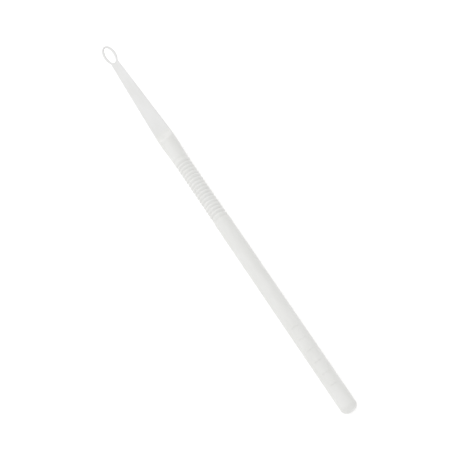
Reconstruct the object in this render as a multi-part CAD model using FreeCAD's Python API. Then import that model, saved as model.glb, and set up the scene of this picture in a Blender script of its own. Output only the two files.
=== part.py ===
"""A disposable inoculating loop: one slim plastic moulding, cut at its own features into flush solids.

The tool lies on a surface as it rests on a bench. +X runs along the tool from the loop's tip to the butt,
+Y is across the flat of the loop, and +Z is up. The origin is on the surface, under the middle of the tool.
Sizes are in millimetres. From the tip backwards the moulding has an oval loop, a flat blade that widens
towards the hand, a shoulder where the flat runs out into a round body, a grip with raised rings, a plain
round handle with a row of low bars on top, and a domed butt.
"""

import math
import os

import FreeCAD
import Part
from FreeCAD import Vector

# Driving dimensions
OVERALL_LENGTH = 150.0
HANDLE_DIAMETER = 5.4
LOOP_LENGTH = 7.8
LOOP_WIDTH = 4.35
LOOP_BAR_WIDTH = 0.92
LOOP_TIP_WIDTH = 0.75
BLADE_ROOT_WIDTH = 2.85
BLADE_HEEL_WIDTH = 5.55
BLADE_ROOT_THICKNESS = 0.8
BLADE_HEEL_THICKNESS = 1.6
SHOULDER_WIDTH = 5.78
RIB_COUNT = 18
RIB_PITCH = 1.331
RIB_DIAMETER = 5.26
RIB_HEIGHT = 0.32
DOME_LENGTH = 2.1
BAR_COUNT = 6
BAR_PITCH = 4.3
BAR_HEIGHT = 0.12

# Stations along the tool, measured from its middle
TIP_X = -OVERALL_LENGTH / 2
BUTT_X = OVERALL_LENGTH / 2
LOOP_ROOT_X = TIP_X + 8.0
BLADE_HEEL_X = -36.6
SHOULDER_PEAK_X = -32.5
GRIP_START_X = -24.4
FIRST_BAR_X = 43.6

# Sizes that follow from the driving dimensions
HANDLE_RADIUS = HANDLE_DIAMETER / 2
AXIS_Z = HANDLE_RADIUS
RIB_RADIUS = RIB_DIAMETER / 2
CORE_RADIUS = RIB_RADIUS - RIB_HEIGHT
GROOVE_WIDTH = 0.8
GRIP_LENGTH = RIB_COUNT * RIB_PITCH + GROOVE_WIDTH
GRIP_END_X = GRIP_START_X + GRIP_LENGTH
DOME_X = BUTT_X - DOME_LENGTH

# Detail sizes
LOOP_EDGE_ROUND = 0.2
LOOP_STUB_LENGTH = 1.4
LOOP_WEB_LENGTH = 0.7
BLADE_EDGE_ROUND = 0.3
RUNOUT_START_X = BLADE_HEEL_X + 0.5
RUNOUT_HOLLOW_RADIUS = 3.6
RUNOUT_CREST_RADIUS = 0.7
SHOULDER_RISE_LENGTH = 2.0
SHOULDER_FALL_LENGTH = 3.0
SHOULDER_FALL = 0.1
SHOULDER_TUCK = 0.02
RIB_BASE_WIDTH = RIB_PITCH - 0.25
HANDLE_FRONT_ROUND = 1.6
BAR_LENGTH = 1.0
BAR_WIDTH = 2.8
BAR_CORNER_ROUND = 0.4
BAR_SEAT_DEPTH = 0.05
BAR_CROWN_RADIUS = 3.3
BAR_SEAT_Z = math.sqrt(HANDLE_RADIUS**2 - (BAR_WIDTH / 2) ** 2) - BAR_SEAT_DEPTH

# How far cutting solids reach past what they cut, and the least distance that counts as a difference
CUTTER_REACH = 5.0
TOLERANCE = 1e-6


def point(x, y=0.0, z=0.0):
    """A point given by its height above the tool's axis."""
    return Vector(x, y, AXIS_Z + z)


def oval_face(centre_x, half_length, half_width, z):
    """A flat oval face, longer along X, at height z above the axis."""
    centre = point(centre_x, 0, z)
    outline = Part.Ellipse(centre + Vector(half_length, 0, 0), centre + Vector(0, half_width, 0), centre)
    return Part.Face(Part.Wire(outline.toShape()))


def cross_section(x, half_width, half_height):
    """An upright oval wire across the tool at station x, wider than it is high."""
    centre = point(x)
    outline = Part.Ellipse(centre + Vector(0, half_width, 0), centre + Vector(0, 0, half_height), centre)
    return Part.Wire(outline.toShape())


def turned(edges):
    """Revolves a closed outline, whose edges follow one another, round the tool's axis."""
    return Part.Face(Part.Wire(edges)).revolve(point(0), Vector(1, 0, 0), 360)


def blade_half_width(x):
    """Half the width of the straight taper that runs from the loop's root to the blade's heel."""
    share = (x - LOOP_ROOT_X) / (BLADE_HEEL_X - LOOP_ROOT_X)
    return (BLADE_ROOT_WIDTH + share * (BLADE_HEEL_WIDTH - BLADE_ROOT_WIDTH)) / 2


def loop_ring():
    """The oval loop, with the stub of the blade that it springs from."""
    low = -BLADE_ROOT_THICKNESS / 2
    rise = Vector(0, 0, BLADE_ROOT_THICKNESS)
    outer = oval_face(TIP_X + LOOP_LENGTH / 2, LOOP_LENGTH / 2, LOOP_WIDTH / 2, low).extrude(rise)
    stub_x = LOOP_ROOT_X - LOOP_STUB_LENGTH
    stub_corners = [
        point(stub_x, -blade_half_width(stub_x), low),
        point(LOOP_ROOT_X, -BLADE_ROOT_WIDTH / 2, low),
        point(LOOP_ROOT_X, BLADE_ROOT_WIDTH / 2, low),
        point(stub_x, blade_half_width(stub_x), low),
    ]
    stub = Part.Face(Part.makePolygon(stub_corners + stub_corners[:1])).extrude(rise)
    root_corner = Vector(LOOP_ROOT_X, -CUTTER_REACH, 0)
    beyond_root = Part.makeBox(CUTTER_REACH, 2 * CUTTER_REACH, 2 * CUTTER_REACH, root_corner)
    opening_start = TIP_X + LOOP_TIP_WIDTH
    half_opening = (LOOP_ROOT_X - LOOP_WEB_LENGTH - opening_start) / 2
    inner_half_width = LOOP_WIDTH / 2 - LOOP_BAR_WIDTH
    opening_base = oval_face(opening_start + half_opening, half_opening, inner_half_width, -CUTTER_REACH)
    opening = opening_base.extrude(Vector(0, 0, 2 * CUTTER_REACH))
    ring = outer.fuse(stub).cut(beyond_root).cut(opening).removeSplitter()
    return round_flat_edges(ring, LOOP_ROOT_X, LOOP_EDGE_ROUND)


def round_flat_edges(solid, seam_x, radius):
    """Rounds a flat piece's top and bottom edges, apart from those on its seam with the next piece."""
    low, high = AXIS_Z - BLADE_ROOT_THICKNESS / 2, AXIS_Z + BLADE_ROOT_THICKNESS / 2
    edges = []
    for edge in solid.Edges:
        box = edge.BoundBox
        from_faces = min(abs(box.ZMin - low), abs(box.ZMin - high))
        on_top_or_bottom = box.ZLength < TOLERANCE and from_faces < TOLERANCE
        on_seam = abs(box.XMin - seam_x) < TOLERANCE and box.XLength < TOLERANCE
        if on_top_or_bottom and not on_seam:
            edges.append(edge)
    return solid.makeFillet(radius, edges)


def flat_limits():
    """A solid, wide across Y, between the heel's two flats and their curved run-outs up to the round body."""
    heel_half = BLADE_HEEL_THICKNESS / 2
    rise = HANDLE_RADIUS - heel_half
    slope = math.acos(1 - rise / (RUNOUT_HOLLOW_RADIUS + RUNOUT_CREST_RADIUS))
    crest_x = RUNOUT_START_X + (RUNOUT_HOLLOW_RADIUS + RUNOUT_CREST_RADIUS) * math.sin(slope)

    def hollow(angle):
        x = RUNOUT_START_X + RUNOUT_HOLLOW_RADIUS * math.sin(angle)
        return x, heel_half + RUNOUT_HOLLOW_RADIUS * (1 - math.cos(angle))

    def crest(angle):
        x = crest_x - RUNOUT_CREST_RADIUS * math.sin(angle)
        return x, HANDLE_RADIUS - RUNOUT_CREST_RADIUS * (1 - math.cos(angle))

    front, back = (BLADE_HEEL_X, heel_half), (GRIP_START_X, HANDLE_RADIUS)

    def half_outline(side):
        def at(station):
            return point(station[0], -CUTTER_REACH, side * station[1])

        return [
            Part.LineSegment(at(front), at(hollow(0))).toShape(),
            Part.Arc(at(hollow(0)), at(hollow(slope / 2)), at(hollow(slope))).toShape(),
            Part.Arc(at(hollow(slope)), at(crest(slope / 2)), at(crest(0))).toShape(),
            Part.LineSegment(at(crest(0)), at(back)).toShape(),
        ]

    def upright(station):
        ends = [point(station[0], -CUTTER_REACH, side * station[1]) for side in (-1, 1)]
        return Part.LineSegment(*ends).toShape()

    edges = half_outline(1) + half_outline(-1) + [upright(front), upright(back)]
    outline = Part.Wire(Part.__sortEdges__(edges))
    return Part.Face(outline).extrude(Vector(0, 2 * CUTTER_REACH, 0))


def blade_neck():
    """The flat blade: two rounded sections joined by straight lines."""
    sections = [
        rounded_section(LOOP_ROOT_X, BLADE_ROOT_WIDTH, BLADE_ROOT_THICKNESS),
        rounded_section(BLADE_HEEL_X, 2 * blade_half_width(BLADE_HEEL_X), BLADE_HEEL_THICKNESS),
    ]
    return Part.makeLoft(sections, True, True)


def rounded_section(x, width, thickness):
    """An upright rectangle across the tool with rounded corners."""
    flat = width / 2 - BLADE_EDGE_ROUND
    side = thickness / 2 - BLADE_EDGE_ROUND
    slant = BLADE_EDGE_ROUND * math.sqrt(0.5)
    edges = []
    for y_sign, z_sign in ((1, 1), (-1, 1), (-1, -1), (1, -1)):
        before = point(x, y_sign * (flat + BLADE_EDGE_ROUND), z_sign * side)
        middle = point(x, y_sign * (flat + slant), z_sign * (side + slant))
        after = point(x, y_sign * flat, z_sign * (side + BLADE_EDGE_ROUND))
        edges.append(Part.Arc(before, middle, after).toShape())
    for y_sign in (1, -1):
        y = y_sign * width / 2
        edges.append(Part.LineSegment(point(x, y, -side), point(x, y, side)).toShape())
    for z_sign in (1, -1):
        z = z_sign * thickness / 2
        edges.append(Part.LineSegment(point(x, -flat, z), point(x, flat, z)).toShape())
    return Part.Wire(Part.__sortEdges__(edges))


def shoulder():
    """The thick heel of the blade, where the flats run out and the section turns round."""
    heel_half, peak_half = BLADE_HEEL_WIDTH / 2, SHOULDER_WIDTH / 2
    rising_x, falling_x = SHOULDER_PEAK_X - SHOULDER_RISE_LENGTH, SHOULDER_PEAK_X + SHOULDER_FALL_LENGTH
    sections = [
        cross_section(BLADE_HEEL_X, heel_half, heel_half - SHOULDER_FALL),
        cross_section(rising_x, peak_half - 2 * SHOULDER_TUCK, HANDLE_RADIUS - SHOULDER_TUCK),
        cross_section(SHOULDER_PEAK_X, peak_half, HANDLE_RADIUS),
        cross_section(falling_x, peak_half - SHOULDER_FALL, HANDLE_RADIUS),
        cross_section(GRIP_START_X, HANDLE_RADIUS, HANDLE_RADIUS),
    ]
    rod = Part.makeLoft(sections, True, False)
    return rod.common(flat_limits())


def grip_core():
    """The plain cylinder inside the grip's rings."""
    return Part.makeCylinder(CORE_RADIUS, GRIP_LENGTH, point(GRIP_START_X), Vector(1, 0, 0))


def grip_ribs():
    """The grip's raised rings, round on top, one closed solid each."""
    rings = []
    first_x = GRIP_START_X + (GROOVE_WIDTH + RIB_PITCH) / 2
    for index in range(RIB_COUNT):
        x = first_x + index * RIB_PITCH
        front = point(x - RIB_BASE_WIDTH / 2, 0, CORE_RADIUS)
        back = point(x + RIB_BASE_WIDTH / 2, 0, CORE_RADIUS)
        crown = Part.Arc(front, point(x, 0, RIB_RADIUS), back).toShape()
        rings.append(turned([crown, Part.LineSegment(back, front).toShape()]))
    return Part.makeCompound(rings)


def handle_shaft():
    """The round handle, eased by an arc where it leaves the last groove, with a flat seat under each bar."""
    step = HANDLE_RADIUS - CORE_RADIUS
    sweep = math.acos(1 - step / HANDLE_FRONT_ROUND)
    eased_x = GRIP_END_X + HANDLE_FRONT_ROUND * math.sin(sweep)
    middle_x = eased_x - HANDLE_FRONT_ROUND * math.sin(sweep / 2)
    middle_radius = HANDLE_RADIUS - HANDLE_FRONT_ROUND * (1 - math.cos(sweep / 2))
    front, front_rim = point(GRIP_END_X), point(GRIP_END_X, 0, CORE_RADIUS)
    eased_rim, back_rim = point(eased_x, 0, HANDLE_RADIUS), point(DOME_X, 0, HANDLE_RADIUS)
    edges = [
        Part.LineSegment(front, front_rim).toShape(),
        Part.Arc(front_rim, point(middle_x, 0, middle_radius), eased_rim).toShape(),
        Part.LineSegment(eased_rim, back_rim).toShape(),
        Part.LineSegment(back_rim, point(DOME_X)).toShape(),
        Part.LineSegment(point(DOME_X), front).toShape(),
    ]
    return turned(edges).cut(bar_blocks())


def butt_dome():
    """The domed end of the handle: a rim as round as the dome is long, with a small flat at its pole."""
    slant = math.sqrt(0.5)
    flat_radius = HANDLE_RADIUS - DOME_LENGTH
    base, pole = point(DOME_X), point(BUTT_X)
    rim, flat_rim = point(DOME_X, 0, HANDLE_RADIUS), point(BUTT_X, 0, flat_radius)
    middle = point(DOME_X + DOME_LENGTH * slant, 0, flat_radius + DOME_LENGTH * slant)
    edges = [
        Part.LineSegment(base, rim).toShape(),
        Part.Arc(rim, middle, flat_rim).toShape(),
        Part.LineSegment(flat_rim, pole).toShape(),
        Part.LineSegment(pole, base).toShape(),
    ]
    return turned(edges)


def bar_blocks():
    """Upright blocks with rounded corners, from the bars' seats upwards, one where each bar stands."""
    blocks = []
    for index in range(BAR_COUNT):
        x = FIRST_BAR_X + index * BAR_PITCH
        corner = point(x - BAR_LENGTH / 2, -BAR_WIDTH / 2, BAR_SEAT_Z)
        block = Part.makeBox(BAR_LENGTH, BAR_WIDTH, CUTTER_REACH, corner)
        uprights = [edge for edge in block.Edges if edge.BoundBox.ZLength > CUTTER_REACH / 2]
        blocks.append(block.makeFillet(BAR_CORNER_ROUND, uprights))
    return blocks


def marking_bars():
    """Plain bars on top of the handle, one solid each, with crowns a little flatter than its surface."""
    crown_axis = point(TIP_X, 0, HANDLE_RADIUS + BAR_HEIGHT - BAR_CROWN_RADIUS)
    skin = Part.makeCylinder(BAR_CROWN_RADIUS, OVERALL_LENGTH, crown_axis, Vector(1, 0, 0))
    return Part.makeCompound([block.common(skin) for block in bar_blocks()])


NODES = {
    "loop_ring": loop_ring,
    "blade_neck": blade_neck,
    "shoulder": shoulder,
    "grip_core": grip_core,
    "grip_ribs": grip_ribs,
    "handle_shaft": handle_shaft,
    "butt_dome": butt_dome,
    "marking_bars": marking_bars,
}

os.makedirs("parts", exist_ok=True)
for name, make in NODES.items():
    shape = make()
    assert shape.Solids and all(solid.isValid() and solid.Volume > 0 for solid in shape.Solids), name
    shape.exportStep(f"parts/{name}.step")
    box = shape.optimalBoundingBox(False)
    print(f"{name}: {len(shape.Solids)} solid(s), {shape.Volume:.1f} mm3, X {box.XMin:.3f} to {box.XMax:.3f}")
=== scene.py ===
"""The looks of a one-piece plastic inoculating loop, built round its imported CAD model.

The moulding's whole skin is made first, as one smooth surface from the loop's tip to the butt. It is then
cut where the CAD nodes meet, so that every node has a piece of its own and the shading still runs on across
each cut. Points are in millimetres, with z measured from the handle's axis, until a mesh is made from them.
"""

import math

import bpy
from mathutils import Matrix, Vector


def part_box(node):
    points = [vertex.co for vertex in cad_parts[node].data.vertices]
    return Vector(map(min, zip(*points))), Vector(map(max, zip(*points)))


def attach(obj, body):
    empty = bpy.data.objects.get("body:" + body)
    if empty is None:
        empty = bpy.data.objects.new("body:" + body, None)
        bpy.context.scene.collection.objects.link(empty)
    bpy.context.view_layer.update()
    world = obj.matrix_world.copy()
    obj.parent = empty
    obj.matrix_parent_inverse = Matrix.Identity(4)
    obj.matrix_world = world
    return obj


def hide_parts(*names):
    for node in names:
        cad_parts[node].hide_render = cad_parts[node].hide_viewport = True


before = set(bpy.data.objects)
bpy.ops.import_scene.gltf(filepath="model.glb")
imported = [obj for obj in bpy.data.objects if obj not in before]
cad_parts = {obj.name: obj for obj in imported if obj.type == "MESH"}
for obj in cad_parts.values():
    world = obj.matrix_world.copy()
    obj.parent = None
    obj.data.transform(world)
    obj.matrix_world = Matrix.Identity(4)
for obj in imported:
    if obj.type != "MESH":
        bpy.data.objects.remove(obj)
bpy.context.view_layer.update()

MM = 0.001


def low(node):
    """A CAD node's lowest corner in millimetres."""
    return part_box(node)[0] / MM


def high(node):
    """A CAD node's highest corner in millimetres."""
    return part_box(node)[1] / MM


# Stations along the tool and sizes across it, from the frame
TIP_X = low("loop_ring").x
ROOT_X = low("blade_neck").x
HEEL_X = low("shoulder").x
GRIP_X = low("grip_core").x
SHAFT_X = low("handle_shaft").x
DOME_X = low("butt_dome").x
BUTT_X = high("butt_dome").x
HANDLE_RADIUS = (high("handle_shaft").z - low("handle_shaft").z) / 2
RIB_RADIUS = (high("grip_ribs").z - low("grip_ribs").z) / 2
LOOP_HALF_WIDTH = high("loop_ring").y
AXIS_Z = HANDLE_RADIUS

# Blade and shoulder
ROOT_HALF_WIDTH = 1.425
HEEL_HALF_WIDTH = 2.775
SHOULDER_HALF_WIDTH = 2.87
SHOULDER_X = HEEL_X + 4.1
ROOT_HALF_THICKNESS = 0.4
HEEL_HALF_THICKNESS = 0.8
RUNOUT_X = HEEL_X + 0.5
RUNOUT_RADIUS = 3.6
RUNOUT_SLOPE = math.radians(56)
BLADE_SIDE_DROP = 0.08
SHOULDER_TAPER_END_X = GRIP_X - 3.0
# The edge rounding at the blade's root, and how much it grows up to the heel and over the run-out
ROOT_ROUNDING = 0.14
HEEL_ROUNDING_GAIN = 0.16
RUNOUT_ROUNDING_GAIN = 0.4

# Loop
LOOP_HALF_LENGTH = 3.9
WIRE_WIDTH = 0.92
TIP_WIDTH = 0.75
WEB_LENGTH = 0.7
TIP_HALF_THICKNESS = 0.38
WIRE_EDGE = 0.8
BLADE_EDGE = 1.5
EDGE_BLEND_ANGLE = 0.4
CORNER_SHARPNESS = 30

# Grip. The grooves at its two ends are shallower than those between the ribs, and a ledge closes each of them
# down to the core.
RIB_COUNT = 18
RIB_PITCH = 1.331
RIB_DEPTH = 0.27
RIB_SHARPNESS = 1.5
RIB_ROOT = 0.1
TAPER_LENGTH = 4.0
STEP_LENGTH = 0.8
END_DEPTH = 0.13
LEDGE = 0.001
LEDGE_LEAD = 10 * LEDGE
SHAFT_STEP_LENGTH = 1.3
GROOVE_RADIUS = RIB_RADIUS - RIB_DEPTH

# Butt, raised bars and the mould's parting line
DOME_FULLNESS = 2.3
BAR_COUNT = 6
BAR_LENGTH = 1.0
BAR_WIDTH = 2.8
BAR_EDGE = 0.22
BAR_SEAT_DEPTH = 0.05
BAR_CORNER_POWER = 0.5
PARTING_HEIGHT = 0.015
PARTING_HALF_WIDTH = 0.1
PARTING_FADE_LENGTH = 3
PARTING_ANGLES = (-1.4, -0.7, 0.7, 1.4)

# How finely the skin is divided
SECTION_POINTS = 128
WIRE_POINTS = 12
ARM_STEPS = 132
ARM_CROWDING = 0.75
SLOPE_STEP = 1e-4
BLADE_STEPS = 56
HEEL_STEPS = 6
HOLLOW_STEPS = 16
CREST_STEPS = 24
CREST_LENGTH = 0.8
SHOULDER_STEPS = 24
STEP_STEPS = 12
CORE_STEPS = 8
QUARTER_STEPS = 10
SHAFT_STEPS = 48
DOME_STEPS = 24
RIB_STEPS = 16
BAR_RINGS = 8
BAR_POINTS = 48


def smooth_min(a, b, width):
    """The lower of two values, with the corner between them rounded over the given width."""
    overlap = max(width - abs(a - b), 0.0) / width
    return min(a, b) - overlap * overlap * width / 4


def ease(value, start, end):
    """0 up to start, 1 from end on, and a smooth rise between."""
    share = min(max((value - start) / (end - start), 0.0), 1.0)
    return share * share * (3 - 2 * share)


def spread(start, end, count):
    """count + 1 evenly spaced values."""
    return [start + (end - start) * step / count for step in range(count + 1)]


# ---------------------------------------------------------------- the body's shape


def blade_half_width(x):
    """Half the width of the blade, which widens in straight lines."""
    share = (x - ROOT_X) / (HEEL_X - ROOT_X)
    return ROOT_HALF_WIDTH + share * (HEEL_HALF_WIDTH - ROOT_HALF_WIDTH)


def half_width(x):
    """Half the body's size across Y at a station."""
    if x <= HEEL_X:
        return blade_half_width(x)
    if x >= GRIP_X:
        return body_radius(x)
    before = 2 * (SHOULDER_HALF_WIDTH - HEEL_HALF_WIDTH) * (1 - ease(x, 2 * HEEL_X - SHOULDER_X, SHOULDER_X))
    after = (SHOULDER_HALF_WIDTH - HANDLE_RADIUS) * ease(x, SHOULDER_X, SHOULDER_TAPER_END_X)
    step = HANDLE_RADIUS - body_radius(x)
    return SHOULDER_HALF_WIDTH - before - after - step


def body_radius(x):
    """The round body's radius: it sinks into the grip, steps up out of it, and closes in the dome."""
    depth = HANDLE_RADIUS - RIB_RADIUS + END_DEPTH
    if x < GRIP_X:
        taper = (HANDLE_RADIUS - RIB_RADIUS) * ease(x, GRIP_X - TAPER_LENGTH, GRIP_X - STEP_LENGTH)
        return HANDLE_RADIUS - taper - END_DEPTH * ease(x, GRIP_X - STEP_LENGTH, GRIP_X)
    if x <= SHAFT_X:
        return GROOVE_RADIUS
    if x < SHAFT_X + SHAFT_STEP_LENGTH:
        share = 1 - (x - SHAFT_X) / SHAFT_STEP_LENGTH
        return HANDLE_RADIUS - depth * (1 - math.sqrt(1 - share * share))
    if x <= DOME_X:
        return HANDLE_RADIUS
    share = min((x - DOME_X) / (BUTT_X - DOME_X), 1.0)
    return HANDLE_RADIUS * (1 - share**DOME_FULLNESS) ** (1 / DOME_FULLNESS)


def half_height(x):
    """Half the height that the body would have with no flats on it."""
    if x >= HEEL_X:
        return body_radius(x) - BLADE_SIDE_DROP * (1 - ease(x, HEEL_X, SHOULDER_X))
    return (HANDLE_RADIUS - BLADE_SIDE_DROP) * blade_half_width(x) / HEEL_HALF_WIDTH


def flat_height(x):
    """Height above the axis of the blade's flat, and of the hollow in which it runs out into the body."""
    if x <= HEEL_X:
        share = (x - ROOT_X) / (HEEL_X - ROOT_X)
        return ROOT_HALF_THICKNESS + share * (HEEL_HALF_THICKNESS - ROOT_HALF_THICKNESS)
    along = max(0.0, x - RUNOUT_X)
    hollow_end = RUNOUT_RADIUS * math.sin(RUNOUT_SLOPE)
    hollow = RUNOUT_RADIUS - math.sqrt(RUNOUT_RADIUS**2 - min(along, hollow_end) ** 2)
    return HEEL_HALF_THICKNESS + hollow + math.tan(RUNOUT_SLOPE) * max(0.0, along - hollow_end)


def edge_rounding(x):
    """How widely the edge between a flat and the round side is rounded."""
    at_heel = HEEL_ROUNDING_GAIN * ease(x, ROOT_X, HEEL_X)
    at_runout = RUNOUT_ROUNDING_GAIN * ease(x, RUNOUT_X, SHOULDER_X)
    return ROOT_ROUNDING + at_heel + at_runout


def parting_ridge(x, distance):
    """Height of the fine ridge that the mould leaves along both sides, at a distance from its middle."""
    share = min(distance / PARTING_HALF_WIDTH, 1.0)
    fade_in = ease(x, ROOT_X, ROOT_X + PARTING_FADE_LENGTH)
    fade_out = 1 - ease(x, DOME_X, BUTT_X)
    return PARTING_HEIGHT * (1 - share * share) ** 2 * fade_in * fade_out


def section_angles():
    """Angles round a section, even apart from a few more where the parting line runs."""
    even = [2 * math.pi * step / SECTION_POINTS for step in range(SECTION_POINTS)]
    fine = [math.radians(side + offset) for side in (0, 180) for offset in PARTING_ANGLES]
    return sorted(angle % (2 * math.pi) for angle in even + fine)


ANGLES = section_angles()


def body_section(x):
    """The points round the body at a station."""
    width, height, flat, rounding = half_width(x), half_height(x), flat_height(x), edge_rounding(x)
    points = []
    for angle in ANGLES:
        side, rise = math.cos(angle), math.sin(angle)
        top = max(0.0, smooth_min(height * abs(rise), flat, min(rounding, 2 * flat)))
        y = side * (width + parting_ridge(x, height * abs(rise)))
        points.append((x, y, math.copysign(top, rise)))
    return points


def body_stations():
    """Where the body's sections are: close together where its form changes, and on each cut between nodes."""
    blade = spread(ROOT_X, HEEL_X, BLADE_STEPS)
    heel = spread(HEEL_X, RUNOUT_X, HEEL_STEPS)[1:-1]
    hollow = [RUNOUT_X + RUNOUT_RADIUS * math.sin(angle) for angle in spread(0, RUNOUT_SLOPE, HOLLOW_STEPS)]
    crest = spread(hollow[-1], hollow[-1] + CREST_LENGTH, CREST_STEPS)[1:]
    shoulder = spread(crest[-1], GRIP_X - STEP_LENGTH, SHOULDER_STEPS)[1:]
    step_down = spread(GRIP_X - STEP_LENGTH, GRIP_X - LEDGE_LEAD, STEP_STEPS)[1:] + [GRIP_X - LEDGE]
    core = spread(GRIP_X, SHAFT_X, CORE_STEPS)
    step_up = [SHAFT_X + LEDGE]
    for angle in spread(math.pi / 2, 0, QUARTER_STEPS)[1:]:
        step_up.append(SHAFT_X + SHAFT_STEP_LENGTH * (1 - math.sin(angle)))
    shaft = spread(SHAFT_X + SHAFT_STEP_LENGTH, DOME_X, SHAFT_STEPS)[1:]
    turns = spread(0, math.pi / 2, DOME_STEPS)[1:-1]
    dome = [DOME_X + (BUTT_X - DOME_X) * math.sin(angle) for angle in turns]
    return blade + heel + hollow + crest + shoulder + step_down + core + step_up + shaft + dome


# ---------------------------------------------------------------- the skin


class Skin:
    """Points and faces, in millimetres."""

    def __init__(self):
        self.points = []
        self.faces = []

    def add(self, point):
        self.points.append(point)
        return len(self.points) - 1

    def add_row(self, points):
        return [self.add(point) for point in points]

    def join_rows(self, row, following):
        """Closed rows of the same length, joined by a band of faces."""
        count = len(row)
        for index in range(count):
            beside = (index + 1) % count
            self.faces.append((row[index], row[beside], following[beside], following[index]))

    def fan(self, row, tip):
        for index in range(len(row)):
            self.faces.append((row[index], row[(index + 1) % len(row)], tip))


def add_body(skin):
    """The blade, shoulder, grip core, handle and dome. Returns the row of points at the blade's root."""
    rows = [skin.add_row(body_section(x)) for x in body_stations()]
    for row, following in zip(rows, rows[1:]):
        skin.join_rows(row, following)
    skin.fan(rows[-1], skin.add((BUTT_X, 0.0, 0.0)))
    return rows[0]


def oval_radius(angle, half_length, half_wide):
    """Distance from an oval's centre to its outline in the direction of an angle from +X."""
    return 1 / math.hypot(math.cos(angle) / half_length, math.sin(angle) / half_wide)


LOOP_X = TIP_X + LOOP_HALF_LENGTH
OPENING_HALF_LENGTH = (ROOT_X - WEB_LENGTH - TIP_X - TIP_WIDTH) / 2
OPENING_X = TIP_X + TIP_WIDTH + OPENING_HALF_LENGTH
OPENING_HALF_WIDTH = LOOP_HALF_WIDTH - WIRE_WIDTH


def outer_radius(angle):
    """Distance from the loop's centre to its outside, filleted where it meets the blade's straight sides."""
    oval = oval_radius(angle, LOOP_HALF_LENGTH, LOOP_HALF_WIDTH)
    if math.cos(angle) <= 0:
        return oval
    taper = (HEEL_HALF_WIDTH - ROOT_HALF_WIDTH) / (HEEL_X - ROOT_X)
    side = blade_half_width(LOOP_X) / (abs(math.sin(angle)) - taper * math.cos(angle))
    return (oval**CORNER_SHARPNESS + side**CORNER_SHARPNESS) ** (1 / CORNER_SHARPNESS)


def inner_radius(angle):
    """Distance from the loop's centre to the edge of its opening."""
    direction = Vector((math.cos(angle), math.sin(angle)))
    offset = OPENING_X - LOOP_X
    a = (direction.x / OPENING_HALF_LENGTH) ** 2 + (direction.y / OPENING_HALF_WIDTH) ** 2
    b = -2 * direction.x * offset / OPENING_HALF_LENGTH**2
    c = (offset / OPENING_HALF_LENGTH) ** 2 - 1
    return (-b + math.sqrt(b * b - 4 * a * c)) / (2 * a)


def squareness(radius, angle):
    """Cosine of the angle between a ray from the loop's centre and the outline that it meets."""
    slope = (radius(angle + SLOPE_STEP) - radius(angle - SLOPE_STEP)) / (2 * SLOPE_STEP)
    return 1 / math.hypot(1, slope / radius(angle))


def loop_column(angle, outside, edge, open_end):
    """Points of the loop's top along one ray, from the opening's edge out to the distance outside."""
    inside = inner_radius(angle)
    inner_square = squareness(inner_radius, angle)
    outer_square = 1.0 if open_end else squareness(outer_radius, angle)
    points = []
    for step in range(WIRE_POINTS + 1):
        share = (1 - math.cos(math.pi * step / WIRE_POINTS)) / 2
        distance = inside + share * (outside - inside)
        x, y = LOOP_X + distance * math.cos(angle), distance * math.sin(angle)
        flat = TIP_HALF_THICKNESS + (ROOT_HALF_THICKNESS - TIP_HALF_THICKNESS) * ease(x, TIP_X, ROOT_X)
        inner_side = edge * math.sqrt(max(0.0, (distance - inside) * inner_square))
        if open_end:
            width = blade_half_width(x)
            outer_side = half_height(x) * math.sqrt(max(0.0, 1 - (y / width) ** 2))
        else:
            outer_side = edge * math.sqrt(max(0.0, (outside - distance) * outer_square))
        rounding = edge_rounding(ROOT_X)
        top = smooth_min(smooth_min(inner_side, outer_side, rounding), flat, rounding)
        points.append((x, y, max(0.0, top)))
    return points


def add_loop(skin, root_row):
    """The loop and the web that joins it to the blade, as rays round the opening. They end on the loop's
    outside or, across the web, on the blade's first row of points."""
    half = len(ANGLES) // 2
    corner = math.atan2(ROOT_HALF_WIDTH, ROOT_X - LOOP_X)
    columns = []
    for index in range(half, -1, -1):
        _, y, _ = skin.points[root_row[index]]
        angle = math.atan2(y, ROOT_X - LOOP_X)
        outside = math.hypot(y, ROOT_X - LOOP_X)
        top = loop_column(angle, outside, BLADE_EDGE, True)
        upper, lower = root_row[index], root_row[-index % len(ANGLES)]
        columns.append(closed_column(skin, top, upper, lower))
    for step in range(1, ARM_STEPS):
        share = step / ARM_STEPS
        share -= ARM_CROWDING * math.sin(2 * math.pi * share) / (2 * math.pi)
        angle = corner + share * 2 * (math.pi - corner)
        from_tip = abs(math.pi - angle)
        wire_like = 1 - ease(from_tip, math.pi - corner - EDGE_BLEND_ANGLE, math.pi - corner)
        edge = BLADE_EDGE + (WIRE_EDGE - BLADE_EDGE) * wire_like
        top = loop_column(angle, outer_radius(angle), edge, False)
        rim = skin.add(top[-1][:2] + (0.0,))
        columns.append(closed_column(skin, top, rim, rim))
    for column, following in zip(columns, columns[1:] + columns[:1]):
        for index in range(len(column) - 1):
            corners = (column[index], following[index], following[index + 1], column[index + 1])
            skin.faces.append(tuple(dict.fromkeys(corners)))


def closed_column(skin, top, upper, lower):
    """The points of one ray: from its upper outer point over the top to the opening, and out underneath."""
    mouth = skin.add(top[0][:2] + (0.0,))
    above = [skin.add(point) for point in top[1:-1]]
    below = [skin.add((x, y, -z)) for x, y, z in top[1:-1]]
    return [upper] + above[::-1] + [mouth] + below + [lower]


def skin_normals(skin):
    """A smooth normal for every point of the skin."""
    mesh = bpy.data.meshes.new("whole_skin")
    mesh.from_pydata(skin.points, [], skin.faces)
    normals = [vertex.normal.copy() for vertex in mesh.vertices]
    bpy.data.meshes.remove(mesh)
    return normals


# ---------------------------------------------------------------- pieces


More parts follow.
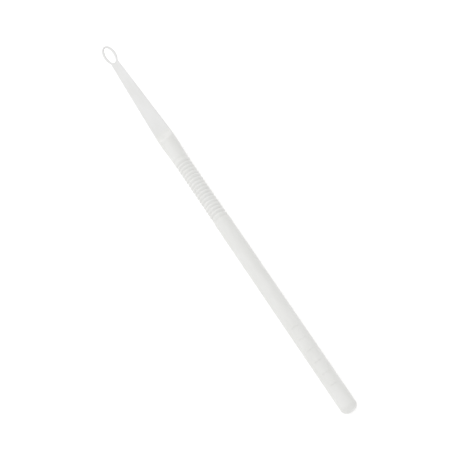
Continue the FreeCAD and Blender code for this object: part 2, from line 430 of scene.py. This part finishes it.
def make_piece(name, node, points, faces, corner_normals, material):
    """A smooth mesh piece that stands for a CAD node. Points go from millimetres off the axis to metres."""
    mesh = bpy.data.meshes.new(name)
    mesh.from_pydata([(x * MM, y * MM, (z + AXIS_Z) * MM) for x, y, z in points], [], faces)
    mesh.polygons.foreach_set("use_smooth", [True] * len(faces))
    mesh.materials.append(material)
    if corner_normals:
        mesh.normals_split_custom_set(corner_normals)
    mesh.validate()
    piece = bpy.data.objects.new(name, mesh)
    bpy.context.scene.collection.objects.link(piece)
    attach(piece, "root")
    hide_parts(node)
    return piece


def open_rims(faces):
    """The closed chains of edges that only one face uses, each following the other way from its faces."""
    used = set()
    for face in faces:
        used.update(zip(face, face[1:] + face[:1]))
    follows = {end: start for start, end in used if (end, start) not in used}
    rims = []
    while follows:
        start, point = follows.popitem()
        rim = [start]
        while point != rim[0]:
            rim.append(point)
            point = follows.pop(point)
        rims.append(rim)
    return rims


def cut_piece(skin, normals, name, material, start_x, end_x):
    """The skin between two stations, closed at its cuts by flat ends, with the whole skin's shading."""
    faces = []
    for face in skin.faces:
        middle = sum(skin.points[index][0] for index in face) / len(face)
        if start_x < middle < end_x:
            faces.append(face)
    corner_normals = [normals[index] for face in faces for index in face]
    kept = list(dict.fromkeys(index for face in faces for index in face))
    places = {index: place for place, index in enumerate(kept)}
    points = [skin.points[index] for index in kept]
    for rim in open_rims(faces):
        x = skin.points[rim[0]][0]
        facing = Vector((1 if x > (start_x + end_x) / 2 else -1, 0, 0))
        centre = len(skin.points) + len(points)
        places[centre] = len(points)
        points.append((x, 0.0, 0.0))
        for index, point in enumerate(rim):
            faces.append((point, rim[(index + 1) % len(rim)], centre))
            corner_normals += [facing] * 3
    local = [tuple(places[index] for index in face) for face in faces]
    return make_piece(name, name, points, local, corner_normals, material)


def make_ribs(material):
    """The grip's rings: closed hoops with a rounded crown and hollow sides, which meet in the grooves."""
    skin = Skin()
    first_x = (GRIP_X + SHAFT_X - (RIB_COUNT - 1) * RIB_PITCH) / 2
    for index in range(RIB_COUNT):
        middle = first_x + index * RIB_PITCH
        profile = []
        front = GRIP_X if index == 0 else middle - RIB_PITCH / 2
        back = SHAFT_X if index == RIB_COUNT - 1 else middle + RIB_PITCH / 2
        for share in spread(-1, 1, RIB_STEPS):
            end = front if share < 0 else back
            depth = END_DEPTH if end in (GRIP_X, SHAFT_X) else RIB_DEPTH
            height = math.cos(share * math.pi / 2) ** RIB_SHARPNESS
            profile.append((middle + abs(share) * (end - middle), RIB_RADIUS - depth * (1 - height)))
        profile.append((back, GROOVE_RADIUS - RIB_ROOT))
        profile.insert(0, (front, GROOVE_RADIUS - RIB_ROOT))
        rows = []
        for x, radius in profile:
            row = []
            for angle in ANGLES:
                wide = radius + parting_ridge(x, radius * abs(math.sin(angle)))
                row.append((x, wide * math.cos(angle), radius * math.sin(angle)))
            rows.append(skin.add_row(row))
        for row, following in zip(rows, rows[1:] + rows[:1]):
            skin.join_rows(row, following)
    return make_piece("grip_ribs", "grip_ribs", skin.points, skin.faces, None, material)


def make_bars(material):
    """Plain raised bars that follow the handle's round top, with rounded corners and edges."""
    skin = Skin()
    start, end = low("marking_bars").x + BAR_LENGTH / 2, high("marking_bars").x - BAR_LENGTH / 2
    height = high("marking_bars").z - AXIS_Z - HANDLE_RADIUS
    for x in spread(start, end, BAR_COUNT - 1):
        rows = []
        for turn in spread(0, math.pi / 2, BAR_RINGS):
            inset = BAR_EDGE * (1 - math.cos(turn))
            lift = -BAR_SEAT_DEPTH + (height + BAR_SEAT_DEPTH) * math.sin(turn)
            rows.append(skin.add_row(bar_outline(x, inset, HANDLE_RADIUS + lift)))
        for row, following in zip(rows, rows[1:]):
            skin.join_rows(row, following)
        skin.fan(rows[-1], skin.add((x, 0.0, HANDLE_RADIUS + height)))
        skin.fan(rows[0][::-1], skin.add((x, 0.0, HANDLE_RADIUS - BAR_SEAT_DEPTH)))
    name = "marking_bars"
    return make_piece(name, name, skin.points, skin.faces, None, material)


def bar_outline(x, inset, radius):
    """A rounded oblong wrapped on a cylinder, taken in by an inset all round."""
    points = []
    half_long, half_across = BAR_WIDTH / 2 - inset, BAR_LENGTH / 2 - inset
    for step in range(BAR_POINTS):
        angle = 2 * math.pi * step / BAR_POINTS
        across = half_across * math.copysign(abs(math.cos(angle)) ** BAR_CORNER_POWER, math.cos(angle))
        along = half_long * math.copysign(abs(math.sin(angle)) ** BAR_CORNER_POWER, math.sin(angle))
        turn = along / HANDLE_RADIUS
        points.append((x + across, radius * math.sin(turn), radius * math.cos(turn)))
    return points


# ---------------------------------------------------------------- materials


PLASTIC_IOR = 1.49
SHEEN = 0.3
MILKY_DEEP, MILKY_PALE, MILKY_ROUGHNESS = (0.75, 0.75, 0.73), (0.78, 0.78, 0.765), 0.5
THIN_DEEP, THIN_PALE, THIN_ROUGHNESS = (0.745, 0.745, 0.735), (0.775, 0.775, 0.77), 0.45
ROUGHNESS_SWING = 0.05
NOISE_ROUGHNESS = 0.55
NOISE_LOW, NOISE_HIGH = 0.3, 0.7
FLOW_DEPTH = 0.02
GRAIN_DEPTH = 0.003

# Each noise texture's features per millimetre along X, Y and Z, and its detail
CLOUDS = (0.12, 0.35, 0.35), 2.0
FLOW = (0.06, 1.6, 1.6), 3.0
GRAIN = (7.0, 7.0, 7.0), 2.0


def set_inputs(node, **values):
    for name, value in values.items():
        node.inputs[name.replace("_", " ")].default_value = value


def noise(tree, coordinates, scale, detail):
    """A noise texture over the tool, in features per millimetre along X, Y and Z."""
    mapping = tree.nodes.new("ShaderNodeMapping")
    mapping.inputs["Scale"].default_value = [part / MM for part in scale]
    texture = tree.nodes.new("ShaderNodeTexNoise")
    set_inputs(texture, Scale=1.0, Detail=detail, Roughness=NOISE_ROUGHNESS)
    tree.links.new(coordinates, mapping.inputs["Vector"])
    tree.links.new(mapping.outputs["Vector"], texture.inputs["Vector"])
    return texture.outputs["Fac"]


def map_range(tree, value, low_value, high_value):
    node = tree.nodes.new("ShaderNodeMapRange")
    set_inputs(node, From_Min=NOISE_LOW, From_Max=NOISE_HIGH, To_Min=low_value, To_Max=high_value)
    tree.links.new(value, node.inputs["Value"])
    return node.outputs["Result"]


def bump(tree, height, depth, under=None):
    """A bump whose full height is depth millimetres, laid over another one if there is one."""
    node = tree.nodes.new("ShaderNodeBump")
    set_inputs(node, Strength=1.0, Distance=depth * MM)
    tree.links.new(height, node.inputs["Height"])
    if under is not None:
        tree.links.new(under, node.inputs["Normal"])
    return node.outputs["Normal"]


def plastic(name, deep, pale, roughness):
    """Moulded plastic with a cloudy body colour, long flow marks, and the fine grain of the mould's steel."""
    material = bpy.data.materials.new(name)
    material.use_nodes = True
    tree = material.node_tree
    shader = tree.nodes["Principled BSDF"]
    coordinates = tree.nodes.new("ShaderNodeTexCoord").outputs["Object"]
    clouds = noise(tree, coordinates, *CLOUDS)
    flow = noise(tree, coordinates, *FLOW)
    grain = noise(tree, coordinates, *GRAIN)
    colour = tree.nodes.new("ShaderNodeMix")
    colour.data_type = "RGBA"
    colour.inputs["A"].default_value = deep + (1.0,)
    colour.inputs["B"].default_value = pale + (1.0,)
    tree.links.new(map_range(tree, clouds, 0.0, 1.0), colour.inputs["Factor"])
    tree.links.new(colour.outputs["Result"], shader.inputs["Base Color"])
    polish = map_range(tree, flow, roughness - ROUGHNESS_SWING, roughness + ROUGHNESS_SWING)
    tree.links.new(polish, shader.inputs["Roughness"])
    flow_bump = bump(tree, flow, FLOW_DEPTH)
    tree.links.new(bump(tree, grain, GRAIN_DEPTH, flow_bump), shader.inputs["Normal"])
    set_inputs(shader, IOR=PLASTIC_IOR, Specular_IOR_Level=SHEEN)
    return material


def floor_material():
    material = bpy.data.materials.new("floor_white")
    material.use_nodes = True
    shader = material.node_tree.nodes["Principled BSDF"]
    set_inputs(shader, Base_Color=FLOOR_COLOUR, Roughness=FLOOR_ROUGHNESS)
    set_inputs(shader, Emission_Color=WHITE, Emission_Strength=FLOOR_GLOW)
    return material


# ---------------------------------------------------------------- stage

CAMERA_LEAN = math.radians(22.3)
CAMERA_SIDE = math.radians(0.0)
CAMERA_SLOPE = math.radians(55.77)
CAMERA_DISTANCE = 0.5
CAMERA_LENS = 124.9
CAMERA_AIM = Vector((4.86, 0.39, AXIS_Z)) * MM
SENSOR_WIDTH = 36.0
CLIP_NEAR, CLIP_FAR = 0.05, 20.0
WHITE = (1.0, 1.0, 1.0, 1.0)
FLOOR_COLOUR = (0.9, 0.9, 0.9, 1.0)
FLOOR_ROUGHNESS = 0.9
FLOOR_REACH = 3.0
FLOOR_GLOW = 0.26
SKY_LIGHT = 0.86
SKY_DIM = 0.62
SKY_FADE_START = 0.4
SOFTBOX_POWER = 1.1
SOFTBOX_SIZE = 0.9
SOFTBOX_PLACE = (-0.1, -0.08, 0.7)
AHEAD_POWER = 0.6
AHEAD_SIZE = 0.4
AHEAD_PLACE = (-0.62, -0.12, 0.3)


def make_camera():
    """A view from above the handle, with the tool running down to the right across the picture."""
    across = -math.sin(CAMERA_SIDE)
    back = Vector((math.sin(CAMERA_LEAN), across, 0.0))
    back.z = math.sqrt(1 - back.length_squared)
    along = (Vector((1, 0, 0)) - back * back.x).normalized()
    beside = back.cross(along)
    right = along * math.cos(CAMERA_SLOPE) + beside * math.sin(CAMERA_SLOPE)
    up = beside * math.cos(CAMERA_SLOPE) - along * math.sin(CAMERA_SLOPE)
    data = bpy.data.cameras.new("camera")
    data.lens, data.sensor_width = CAMERA_LENS, SENSOR_WIDTH
    data.clip_start, data.clip_end = CLIP_NEAR, CLIP_FAR
    camera = bpy.data.objects.new("camera", data)
    camera.location = CAMERA_AIM + back * CAMERA_DISTANCE
    camera.rotation_mode = "QUATERNION"
    camera.rotation_quaternion = Matrix((right, up, back)).transposed().to_quaternion()
    bpy.context.scene.collection.objects.link(camera)
    bpy.context.scene.camera = camera


def softbox(name, location, size, power):
    """A square area light that points at the tool's middle and stays out of sight."""
    data = bpy.data.lights.new(name, "AREA")
    data.energy, data.size = power, size
    light = bpy.data.objects.new(name, data)
    light.location = location
    light.rotation_mode = "QUATERNION"
    light.rotation_quaternion = (-Vector(location)).to_track_quat("-Z", "Y")
    light.visible_camera = False
    bpy.context.scene.collection.objects.link(light)


def make_sky():
    """An even white sky that is dimmer low down on the tool's far side."""
    world = bpy.data.worlds.new("world")
    world.use_nodes = True
    tree = world.node_tree
    background = tree.nodes["Background"]
    direction = tree.nodes.new("ShaderNodeSeparateXYZ")
    tree.links.new(tree.nodes.new("ShaderNodeTexCoord").outputs["Generated"], direction.inputs["Vector"])
    brightness = tree.nodes.new("ShaderNodeMapRange")
    brightness.interpolation_type = "SMOOTHSTEP"
    set_inputs(brightness, From_Min=SKY_FADE_START, From_Max=1.0, To_Min=SKY_LIGHT, To_Max=SKY_DIM)
    tree.links.new(direction.outputs["Y"], brightness.inputs["Value"])
    tree.links.new(brightness.outputs["Result"], background.inputs["Strength"])
    background.inputs["Color"].default_value = WHITE
    bpy.context.scene.world = world


def make_floor():
    mesh = bpy.data.meshes.new("floor")
    reach = FLOOR_REACH
    corners = [(-reach, -reach, 0), (reach, -reach, 0), (reach, reach, 0), (-reach, reach, 0)]
    mesh.from_pydata(corners, [], [(0, 1, 2, 3)])
    mesh.materials.append(floor_material())
    floor = bpy.data.objects.new("floor", mesh)
    bpy.context.scene.collection.objects.link(floor)


def make_stage():
    make_sky()
    make_floor()
    softbox("softbox_above", SOFTBOX_PLACE, SOFTBOX_SIZE, SOFTBOX_POWER)
    softbox("softbox_ahead", AHEAD_PLACE, AHEAD_SIZE, AHEAD_POWER)
    bpy.context.scene.view_settings.view_transform = "Standard"


def main():
    make_camera()
    milky = plastic("milky_plastic", MILKY_DEEP, MILKY_PALE, MILKY_ROUGHNESS)
    thin = plastic("thin_plastic", THIN_DEEP, THIN_PALE, THIN_ROUGHNESS)
    skin = Skin()
    add_loop(skin, add_body(skin))
    normals = skin_normals(skin)
    cuts = [
        ("loop_ring", "thin_plastic", thin, TIP_X - 1, ROOT_X),
        ("blade_neck", "thin_plastic", thin, ROOT_X, HEEL_X),
        ("shoulder", "milky_plastic", milky, HEEL_X, GRIP_X),
        ("grip_core", "milky_plastic", milky, GRIP_X, SHAFT_X),
        ("handle_shaft", "milky_plastic", milky, SHAFT_X, DOME_X),
        ("butt_dome", "milky_plastic", milky, DOME_X, BUTT_X + 1),
    ]
    for name, slot, material, start_x, end_x in cuts:
        cut_piece(skin, normals, name, material, start_x, end_x)
    make_ribs(milky)
    make_bars(milky)
    make_stage()


main()
